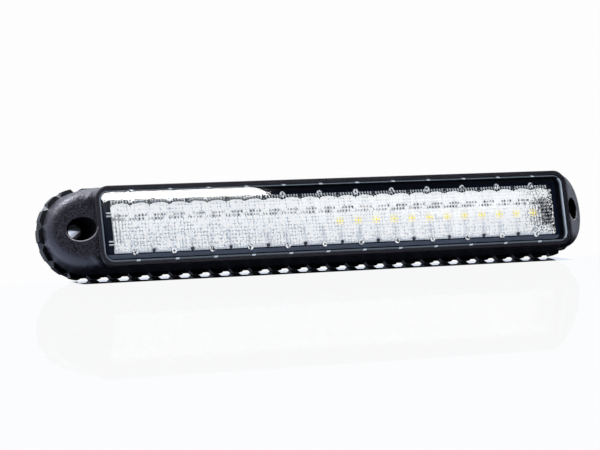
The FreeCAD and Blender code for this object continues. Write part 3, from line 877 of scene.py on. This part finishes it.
@dataclass(frozen=True)
class SolderMask:
    """White board lacquer over copper that shows as a faint pattern."""

    name: str
    colour: Colour = (0.8, 0.81, 0.78)
    track: Colour = (0.66, 0.7, 0.62)
    track_depth_mm: float = 0.03
    lane_pitch_mm: float = 2.4
    lane_reach: float = 0.14
    bar_pitch_mm: float = 16.0
    bar_reach: float = 0.46
    lacquer_mm: float = 1.5
    roughness: Step = (0.25, 0.45)

    def material(self) -> bpy.types.Material:
        """The lacquer as a material.

        Returns:
            The material.
        """
        surface = Surface(self.name)
        x, _, z = surface.place()
        lanes = (z / self.lane_pitch_mm).off_middle().absolute().below(self.lane_reach)
        bars = (x / self.bar_pitch_mm).off_middle().absolute().below(self.bar_reach)
        tracks = lanes * bars
        return surface.finish(surface.principled({
            "Base Color": surface.blend(tracks, self.colour, self.track),
            "Roughness": surface.noise(self.lacquer_mm, detail=3.0).spread(*self.roughness),
            "Normal": surface.bump(tracks, self.track_depth_mm),
        }))


@dataclass(frozen=True)
class LightSource:
    """White package with a tinted dome over its front."""

    name: str
    dome: Colour
    package: Colour = (0.82, 0.82, 0.8)
    dome_front_mm: float = -9.3
    grain_mm: float = 0.3
    roughness: Step = (0.25, 0.4)
    dome_polish: float = 0.15

    def material(self) -> bpy.types.Material:
        """The package and its dome as one material.

        Returns:
            The material.
        """
        surface = Surface(self.name)
        _, y, _ = surface.place()
        raised = y.below(self.dome_front_mm)
        dull = surface.noise(self.grain_mm).spread(*self.roughness)
        return surface.finish(surface.principled({
            "Base Color": surface.blend(raised, self.package, self.dome),
            "Roughness": dull - raised * self.dome_polish,
        }))


@dataclass(frozen=True)
class CappedBody:
    """Board component with a plain body and bright solder along its foot."""

    name: str
    colour: Colour
    foot_mm: float = 0.35
    board_back_mm: float = -7.0
    solder: Colour = (0.7, 0.7, 0.68)
    pale_factor: float = 1.5
    pale_lift: float = 0.01
    grain_mm: float = 0.4
    roughness: Step = (0.35, 0.55)

    def material(self) -> bpy.types.Material:
        """The component as a material.

        Returns:
            The material.
        """
        surface = Surface(self.name)
        _, y, _ = surface.place()
        foot = y.below(self.board_back_mm + self.foot_mm)
        grain = surface.noise(self.grain_mm)
        body = surface.blend(grain, self.colour, shaded(self.colour, self.pale_factor, self.pale_lift))
        return surface.finish(surface.principled({
            "Base Color": surface.blend(foot, body, self.solder),
            "Metallic": foot,
            "Roughness": grain.spread(*self.roughness),
        }))


def deselect() -> None:
    """Leave edit mode and deselect every object."""
    if bpy.context.object and bpy.context.object.mode != "OBJECT":
        bpy.ops.object.mode_set(mode="OBJECT")
    bpy.ops.object.select_all(action="DESELECT")


def start_editing() -> bpy.types.Object:
    """Put a new primitive's place into its mesh and edit it, with everything selected.

    Returns:
        The primitive, which is the active object.
    """
    bpy.ops.object.transform_apply(location=True, rotation=True, scale=True)
    bpy.ops.object.mode_set(mode="EDIT")
    bpy.ops.mesh.select_all(action="SELECT")
    return bpy.context.object


def pick_vertices(test: Callable[[Vector], bool]) -> None:
    """Select the vertices of the edited mesh that a test picks, and nothing else.

    Args:
        test: says of a vertex's place whether it is wanted.
    """
    bpy.ops.mesh.select_mode(type="VERT")
    bpy.ops.mesh.select_all(action="DESELECT")
    bpy.ops.object.mode_set(mode="OBJECT")
    for vertex in bpy.context.object.data.vertices:
        vertex.select = test(vertex.co)
    bpy.ops.object.mode_set(mode="EDIT")


def repeat(piece: bpy.types.Object, count: int, step: Vector, weld: float = 0.0) -> None:
    """Copy a piece in a row with an applied Array modifier.

    Args:
        piece: the piece to copy.
        count: how many there are in the end.
        step: from one to the next.
        weld: distance within which touching borders are joined, or zero.
    """
    array = piece.modifiers.new("row", "ARRAY")
    array.count = count
    array.use_relative_offset = False
    array.use_constant_offset = True
    array.constant_offset_displace = step
    if weld:
        array.use_merge_vertices = True
        array.merge_threshold = weld
    bpy.ops.object.modifier_apply(modifier=array.name)


def settle(piece: bpy.types.Object, name: str, material: bpy.types.Material,
           crease_degrees: float) -> bpy.types.Object:
    """Smooth and dress a modelled piece, put its place into its mesh and let it ride on the lamp.

    Args:
        piece: the active object.
        name: the piece's name.
        material: what it shows.
        crease_degrees: angle from which an edge stays sharp.

    Returns:
        The piece.
    """
    bpy.ops.object.shade_smooth_by_angle(angle=math.radians(crease_degrees))
    bpy.ops.object.transform_apply(location=True, rotation=True, scale=True)
    piece.data.materials.append(material)
    piece.name = name
    piece.data.name = name
    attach(piece, BODY)
    return piece


def dress(node: str, material: bpy.types.Material) -> None:
    """Give a CAD node a material.

    Args:
        node: the node's name.
        material: what it shows.
    """
    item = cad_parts[node]
    if not item.material_slots:
        item.data.materials.append(material)
    for slot in item.material_slots:
        slot.material = material
    LOG.info("dressed %s in %s", node, material.name)


@dataclass
class Enclosure:
    """Bezel, base, tub and what fixes and seals them."""

    bezel: WelledPlastic = WelledPlastic(
        "grained_black_bezel", (0.0065, 0.0058, 0.0085), roughness=0.42, grain_mm=0.5, grain_depth_mm=0.1,
        mottle=2.6, sparkle=0.26, specular=0.5, tint=(0.84, 0.86, 1.0))
    base: MouldedPlastic = MouldedPlastic(
        "satin_black_base", (0.004, 0.0045, 0.006), roughness=0.46, grain_mm=0.5, grain_depth_mm=0.015,
        specular=0.4)
    tub: MouldedPlastic = MouldedPlastic(
        "plain_black_tub", (0.03, 0.03, 0.032), roughness=0.5, grain_mm=0.6, grain_depth_mm=0.02)
    sleeve: ShadedSleeve = ShadedSleeve("shaded_sleeve")
    seal: SoftRubber = SoftRubber("seal_rubber")
    grommet: SoftRubber = SoftRubber("grommet_rubber")

    def dress(self) -> None:
        """Give each node of the enclosure its finish."""
        dress("front_bezel", self.bezel.material())
        dress("mounting_base", self.base.material())
        dress("housing_tub", self.tub.material())
        dress("screw_sleeves", self.sleeve.material())
        dress("lens_seal", self.seal.material())
        dress("cable_grommet", self.grommet.material())


@dataclass
class Optics:
    """Lens, mask and the row of collimator cells with its fine relief."""

    cell_mm: float = 8.0
    cell_count: int = 24
    cell_radius_mm: float = 9.2
    crown_radius_mm: float = 9.2
    crown_top_mm: float = 8.7
    columns: int = 6
    tiers: int = 15
    face_mm: float = 17.9
    pillow_cuts: int = 4
    dome_mm: float = 0.16
    dome_reach: float = 0.3
    dome_share: float = 0.5
    cross_share: float = 0.3
    top_share: float = 0.2
    weld_share: float = 0.02
    pillow_crease: float = 60.0
    sunk_mm: float = 0.1
    arc_cuts: int = 7
    plate_mm: float = 17.4
    rod_crease: float = 50.0
    flute_sides: int = 10
    flute_pitch_mm: float = 1.2
    flute_radius_mm: float = 0.28
    flute_height_mm: float = 0.62
    flute_inner_mm: float = 8.3
    flute_outer_mm: float = 9.75
    end_flute_inner_mm: float = 96.0
    end_flute_outer_mm: float = 97.9
    end_flute_low_mm: float = -6.6
    end_flute_high_mm: float = 4.0
    end_flute_count: int = 2
    boss_sides: int = 24
    boss_radius_mm: float = 0.7
    boss_z_mm: float = 9.2
    boss_pitch_mm: float = 16.0
    boss_count: int = 11
    optic: PillowOptic = PillowOptic("sparkling_optic")
    mask: PolishedMask = PolishedMask("polished_black_mask")
    cover: ClearCover = ClearCover("clear_cover")
    post: ClearPost = ClearPost(
        "clear_posts", (0.95, 0.97, 1.0), top_mm=18.2, glow=0.4, patch_shade_factor=0.08, patch_step=(0.48, 0.6))
    flute: ClearPost = ClearPost("clear_flutes", (0.85, 0.9, 0.95), glow=0.3)
    boss: ClearPost = ClearPost("smoky_bosses", (0.07, 0.08, 0.1), glow=0.05)
    pieces: list[bpy.types.Object] = field(default_factory=list)

    @property
    def pillow(self) -> float:
        """Side of one pillow, in metres."""
        return self.cell_mm / self.columns * MM

    def build(self) -> None:
        """Model the relief of the optic's front."""
        self.pieces = [
            self.build_pillows(),
            self.build_side_flutes(),
            self.build_end_flutes(),
            self.build_bosses(),
        ]

    def build_pillows(self) -> bpy.types.Object:
        """One domed pillow, repeated over a cell that is cut to its round outline, and the cell in a row.

        Returns:
            The sheet of pillows on the optic's face.
        """
        deselect()
        first_x = -self.cell_mm * self.cell_count / 2 * MM + self.pillow / 2
        low_z = -self.pillow * (self.tiers - 1) / 2
        bpy.ops.mesh.primitive_grid_add(
            x_subdivisions=self.pillow_cuts, y_subdivisions=self.pillow_cuts, size=self.pillow,
            location=(first_x, -self.face_mm * MM, low_z), rotation=(math.pi / 2, 0.0, 0.0))
        piece = start_editing()
        inner = self.pillow * self.dome_reach
        for reach, share in ((inner, self.dome_share), (inner / 2, self.top_share)):
            pick_vertices(lambda at: max(abs(at.x - first_x), abs(at.z - low_z)) < reach)
            bpy.ops.transform.translate(value=(0.0, -self.dome_mm * share * MM, 0.0))
        pick_vertices(lambda at: abs(at.x - first_x) + abs(at.z - low_z) < inner)
        bpy.ops.transform.translate(value=(0.0, -self.dome_mm * self.cross_share * MM, 0.0))
        bpy.ops.object.mode_set(mode="OBJECT")
        weld = self.pillow * self.weld_share
        repeat(piece, self.columns, Vector((self.pillow, 0.0, 0.0)), weld)
        repeat(piece, self.tiers, Vector((0.0, 0.0, self.pillow)), weld)
        self.cut_round(first_x + self.pillow * (self.columns - 1) / 2)
        self.close_back()
        bpy.ops.object.mode_set(mode="OBJECT")
        repeat(piece, self.cell_count, Vector((self.cell_mm * MM, 0.0, 0.0)))
        settle(piece, "optic_pillows", self.optic.material(), self.pillow_crease)
        return piece

    def cut_round(self, middle_x: float) -> None:
        """Trim a cell's sheet of pillows, the active object, to a round outline above and below.

        Args:
            middle_x: the cell's middle.
        """
        bpy.ops.object.mode_set(mode="EDIT")
        for side in Side:
            upper = side is Side.UPPER
            radius_mm = self.crown_radius_mm if upper else self.cell_radius_mm
            middle = Vector((middle_x, 0.0, (self.crown_top_mm - radius_mm) * MM if upper else 0.0))
            half = math.asin(self.cell_mm / 2 / radius_mm)
            for cut in range(self.arc_cuts):
                turn = half * (2.0 * (cut + 0.5) / self.arc_cuts - 1.0)
                outward = Vector((math.sin(turn), 0.0, math.cos(turn) * side.value))
                rim = middle + outward * radius_mm * MM
                bpy.ops.mesh.select_all(action="SELECT")
                bpy.ops.mesh.bisect(plane_co=rim, plane_no=outward, clear_outer=True)

    def close_back(self) -> None:
        """Close the edited sheet of pillows with walls and a flat back that is sunk in the optic's face."""
        back = -(self.face_mm - self.sunk_mm) * MM
        bpy.ops.mesh.select_all(action="DESELECT")
        bpy.ops.mesh.select_mode(type="EDGE")
        bpy.ops.mesh.select_non_manifold()
        bpy.ops.mesh.extrude_region_move()
        bpy.ops.transform.resize(value=(1.0, 0.0, 1.0), center_override=(0.0, back, 0.0))
        bpy.ops.mesh.edge_face_add()
        bpy.ops.mesh.select_all(action="SELECT")
        bpy.ops.mesh.normals_make_consistent(inside=False)

    def build_side_flutes(self) -> bpy.types.Object:
        """Flutes across the optic plate's upper and lower margins.

        Returns:
            Both rows as one piece.
        """
        half_row = self.cell_mm * self.cell_count / 2
        count = int(2.0 * half_row / self.flute_pitch_mm)
        middle = (self.flute_inner_mm + self.flute_outer_mm) / 2
        first = Vector((-(count - 1) / 2 * self.flute_pitch_mm, -self.plate_mm, -middle))
        rows = ((count, Vector((self.flute_pitch_mm, 0.0, 0.0))), (2, Vector((0.0, 0.0, 2.0 * middle))))
        return self.build_comb("optic_flutes", first, self.flute_outer_mm - self.flute_inner_mm, 0.0, rows)

    def build_end_flutes(self) -> bpy.types.Object:
        """A few short flutes along the optic plate's margin at the left end.

        Returns:
            All of them as one piece.
        """
        middle = (self.end_flute_inner_mm + self.end_flute_outer_mm) / 2
        first = Vector((-middle, -self.plate_mm, self.end_flute_low_mm))
        rows = ((self.end_flute_count, Vector((0.0, 0.0, self.flute_pitch_mm))),
                (2, Vector((0.0, 0.0, self.end_flute_high_mm - self.end_flute_low_mm))))
        return self.build_comb("optic_end_flutes", first, self.end_flute_outer_mm - self.end_flute_inner_mm,
                               math.pi / 2, rows)

    def build_comb(self, name: str, first: Vector, length_mm: float, turn: float,
                   rows: tuple[tuple[int, Vector], ...]) -> bpy.types.Object:
        """Rounded flutes in rows on the optic plate.

        Args:
            name: the piece's name.
            first: middle of the first flute, in millimetres.
            length_mm: length of a flute.
            turn: rotation about Y of a flute that runs along Z.
            rows: count and step of each repeat, in millimetres.

        Returns:
            The piece.
        """
        deselect()
        bpy.ops.mesh.primitive_cylinder_add(
            vertices=self.flute_sides, radius=self.flute_radius_mm * MM, depth=length_mm * MM,
            location=first * MM, rotation=(0.0, turn, 0.0))
        piece = start_editing()
        bpy.ops.transform.resize(value=(1.0, self.flute_height_mm / self.flute_radius_mm, 1.0),
                                 center_override=first * MM)
        bpy.ops.mesh.bisect(plane_co=(0.0, -(self.plate_mm - self.sunk_mm) * MM, 0.0),
                            plane_no=(0.0, 1.0, 0.0), clear_outer=True, use_fill=True)
        bpy.ops.object.mode_set(mode="OBJECT")
        for count, step in rows:
            repeat(piece, count, step * MM)
        settle(piece, name, self.flute.material(), self.rod_crease)
        return piece

    def build_bosses(self) -> bpy.types.Object:
        """Small round bosses on the joints between the posts, along both edges of the cells.

        Returns:
            Both rows as one piece.
        """
        deselect()
        height = self.face_mm + self.dome_mm - self.plate_mm + self.sunk_mm
        first = Vector((-(self.boss_count - 1) / 2 * self.boss_pitch_mm,
                        -self.face_mm - self.dome_mm + height / 2, -self.boss_z_mm))
        bpy.ops.mesh.primitive_cylinder_add(
            vertices=self.boss_sides, radius=self.boss_radius_mm * MM, depth=height * MM,
            location=first * MM, rotation=(math.pi / 2, 0.0, 0.0))
        piece = start_editing()
        bpy.ops.mesh.bevel(offset=self.sunk_mm * MM, segments=2, affect="EDGES")
        bpy.ops.object.mode_set(mode="OBJECT")
        repeat(piece, self.boss_count, Vector((self.boss_pitch_mm * MM, 0.0, 0.0)))
        repeat(piece, 2, Vector((0.0, 0.0, 2.0 * self.boss_z_mm * MM)))
        settle(piece, "optic_bosses", self.boss.material(), self.rod_crease)
        return piece

    def dress(self) -> None:
        """Give each node of the optics its finish."""
        dress("inner_optic", self.optic.material())
        dress("mask_frame", self.mask.material())
        dress("outer_lens", self.cover.material())
        dress("optic_pins", self.post.material())


@dataclass
class Electronics:
    """Circuit board with its light sources and components."""

    board: SolderMask = SolderMask("white_board")
    chip: CappedBody = CappedBody("black_chip", (0.02, 0.02, 0.022))
    diode: CappedBody = CappedBody("black_diode", (0.025, 0.025, 0.025))
    capacitor: CappedBody = CappedBody("tan_ceramic", (0.42, 0.3, 0.18))
    resistor: CappedBody = CappedBody("glazed_resistor", (0.03, 0.032, 0.045), foot_mm=0.2)
    terminal: TurnedSteel = TurnedSteel("tinned_terminal", (0.75, 0.66, 0.45))

    def dress(self) -> None:
        """Give each node of the electronics its finish."""
        dress("circuit_board", self.board.material())
        for colour in LightColour:
            dress(colour.node, LightSource(f"{colour.name.lower()}_light_source", colour.dome).material())
        dress("driver_chips", self.chip.material())
        dress("input_diodes", self.diode.material())
        dress("capacitors", self.capacitor.material())
        dress("sense_resistors", self.resistor.material())
        dress("wire_terminals", self.terminal.material())


@dataclass(frozen=True)
class SoftBox:
    """A rectangular studio light that shines at the lamp's middle."""

    name: str
    place: Triple
    width: float
    height: float
    power: float
    colour: Colour = (1.0, 1.0, 1.0)

    def build(self) -> None:
        """Add the light."""
        light = bpy.data.lights.new(self.name, "AREA")
        light.shape = "RECTANGLE"
        light.size = self.width
        light.size_y = self.height
        light.energy = self.power
        light.color = self.colour
        item = bpy.data.objects.new(self.name, light)
        item.location = self.place
        item.rotation_euler = (-Vector(self.place)).to_track_quat("-Z", "Y").to_euler()
        bpy.context.scene.collection.objects.link(item)


@dataclass(frozen=True)
class ReflectorCard:
    """A bright card that only shows as a reflection, with its corners in metres."""

    name: str
    corners: tuple[Triple, Triple, Triple, Triple]
    strength: float
    aside: float = 10.0
    touch: float = 0.01

    def build(self) -> None:
        """Add the card: a plane whose corners are pulled into place one by one, aside from the rest."""
        deselect()
        bpy.ops.mesh.primitive_plane_add(size=2.0)
        card = start_editing()
        signs = ((-1, -1), (1, -1), (1, 1), (-1, 1))
        aside = Vector((0.0, self.aside, 0.0))
        for (sign_x, sign_y), corner in zip(signs, self.corners):
            start = Vector((sign_x, sign_y, 0.0))
            pick_vertices(lambda at: (at - start).length < self.touch)
            bpy.ops.transform.translate(value=Vector(corner) - start + aside)
        bpy.ops.mesh.select_all(action="SELECT")
        bpy.ops.transform.translate(value=-aside)
        bpy.ops.object.mode_set(mode="OBJECT")
        card.name = self.name
        surface = Surface(self.name)
        glow = surface.node("ShaderNodeEmission", None, {"Strength": self.strength})
        card.data.materials.append(surface.finish(glow))
        card.visible_camera = False
        card.visible_diffuse = False
        card.visible_shadow = False


@dataclass
class Studio:
    """Camera, floor, lights and surroundings."""

    camera_place: Triple = (-0.59048, -1.03408, -0.1458)
    camera_right: Triple = (0.87241, -0.4763, -0.10974)
    camera_up: Triple = (0.03667, -0.16009, 0.98642)
    focal_length: float = 186.44
    sensor_width: float = 36.0
    clip_start: float = 0.01
    clip_end: float = 100.0
    floor_height_mm: float = -17.0
    lean_degrees: float = 12.97
    floor_reach: float = 4.0
    floor: MirrorFloor = MirrorFloor("glossy_white_table")
    lights: tuple[SoftBox, ...] = (
        SoftBox("overhead_softbox", (0.1, 0.0, 1.3), 1.8, 0.9, 24.0),
        SoftBox("rear_softbox", (-0.72, 0.3, 1.0), 0.5, 0.4, 19.0, (0.98, 0.97, 1.0)),
        SoftBox("front_softbox", (0.0, -0.9, 1.1), 1.2, 0.6, 18.0),
    )
    card: ReflectorCard = ReflectorCard("lens_reflection_card", strength=30.0, corners=(
        (0.1865, -0.7, 0.1141), (0.3461, -0.7, 0.1139), (0.3244, -0.7, 0.1222), (0.1889, -0.7, 0.1349)))
    front_glow: Colour = (0.045, 0.055, 0.08)
    left_glow: Colour = (0.14, 0.13, 0.15)
    left_step: Step = (-0.1, -0.6)
    backdrop: Colour = (0.9, 0.97, 1.12)
    backdrop_step: Step = (-0.1, 0.3)
    seen_backdrop: Colour = (0.984, 0.984, 0.984)
    dark: Colour = (0.004, 0.005, 0.008)
    floor_glow: Colour = (1.9, 2.1, 2.6)
    floor_left_step: Step = (-0.2, -0.45)
    floor_back_step: Step = (-0.6, -0.2)
    down_step: Step = (0.1, -0.15)

    def build(self) -> None:
        """Set up the whole studio."""
        self.build_camera()
        self.build_floor()
        for light in self.lights:
            light.build()
        self.card.build()
        self.build_surroundings()
        bpy.context.scene.view_settings.view_transform = "Standard"

    def build_camera(self) -> None:
        """Place the camera at the photograph's viewpoint."""
        camera = bpy.data.cameras.new("camera")
        camera.lens = self.focal_length
        camera.sensor_width = self.sensor_width
        camera.sensor_fit = "HORIZONTAL"
        camera.clip_start = self.clip_start
        camera.clip_end = self.clip_end
        item = bpy.data.objects.new("camera", camera)
        right = Vector(self.camera_right).normalized()
        back = right.cross(Vector(self.camera_up)).normalized()
        up = back.cross(right)
        turn = Matrix((right, up, back)).transposed()
        item.matrix_world = Matrix.Translation(self.camera_place) @ turn.to_4x4()
        bpy.context.scene.collection.objects.link(item)
        bpy.context.scene.camera = item

    def build_floor(self) -> None:
        """A pale sheet that the lamp's back edge stands on, sloping away under its leaning front."""
        deselect()
        height = self.floor_height_mm * MM
        bpy.ops.mesh.primitive_grid_add(x_subdivisions=2, y_subdivisions=2, size=2.0 * self.floor_reach,
                                        location=(0.0, 0.0, height))
        floor = start_editing()
        pick_vertices(lambda at: at.y < -MM)
        drop = self.floor_reach * math.tan(math.radians(self.lean_degrees))
        bpy.ops.transform.translate(value=(0.0, 0.0, -drop))
        bpy.ops.object.mode_set(mode="OBJECT")
        floor.name = "floor"
        floor.data.materials.append(self.floor.material())
        floor.visible_diffuse = False
        floor.visible_glossy = False

    def build_surroundings(self) -> None:
        """A white backdrop behind the lamp, a dim room in front and light from below at its left end."""
        world = Surroundings("studio")
        x, y, z = world.split(world.node("ShaderNodeTexCoord", output="Generated"))
        front = world.blend(x.smooth(*self.left_step), self.front_glow, self.left_glow)
        around = world.blend(y.smooth(*self.backdrop_step), front, self.backdrop)
        lit_floor = x.smooth(*self.floor_left_step) * y.smooth(*self.floor_back_step)
        below = world.blend(lit_floor, self.dark, self.floor_glow)
        room = world.glow(world.blend(z.smooth(*self.down_step), around, below))
        seen = world.node("ShaderNodeLightPath", output="Is Camera Ray")
        world.show(world.mix(seen, room, world.glow(self.seen_backdrop)))


def main() -> None:
    """Build and dress the lamp and its studio."""
    logging.basicConfig(level=logging.INFO, format="%(message)s")
    Studio().build()
    Enclosure().dress()
    optics = Optics()
    optics.build()
    optics.dress()
    for piece in optics.pieces:
        LOG.info("built %s with %d faces", piece.name, len(piece.data.polygons))
    Electronics().dress()


if __name__ == "__main__":
    main()
